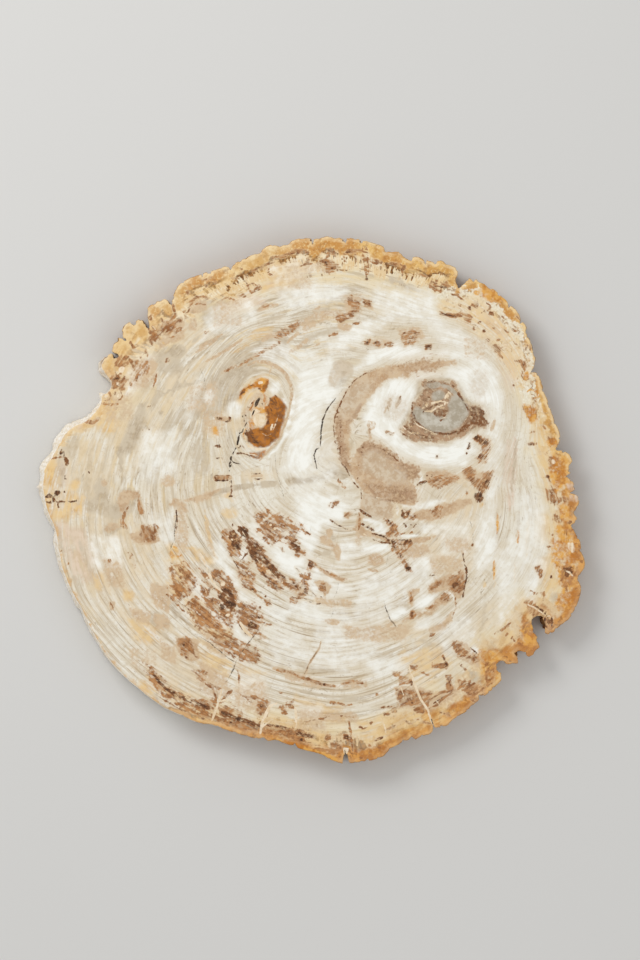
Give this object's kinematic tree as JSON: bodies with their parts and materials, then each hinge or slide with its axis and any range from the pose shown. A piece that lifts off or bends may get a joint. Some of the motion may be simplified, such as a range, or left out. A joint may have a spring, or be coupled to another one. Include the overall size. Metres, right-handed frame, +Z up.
{
  "type": "petrified wood cheese board",
  "caption": "Flat polished slice of petrified wood with a natural bark rim, used as a cheese or serving board.",
  "frame": {"origin": "middle of the slice's outline, on the surface it stands on", "axes": "+Z up out of the serving face, +X along the longest extent towards the knobbly end, +Y towards the straight ochre bark"},
  "size_m": [0.3296, 0.3164, 0.02],
  "materials": {
    "petrified_wood": "polished faces, rough natural rim"
  },
  "bodies": {
    "root": {"slab": "petrified_wood"}
  },
  "joints": []
}
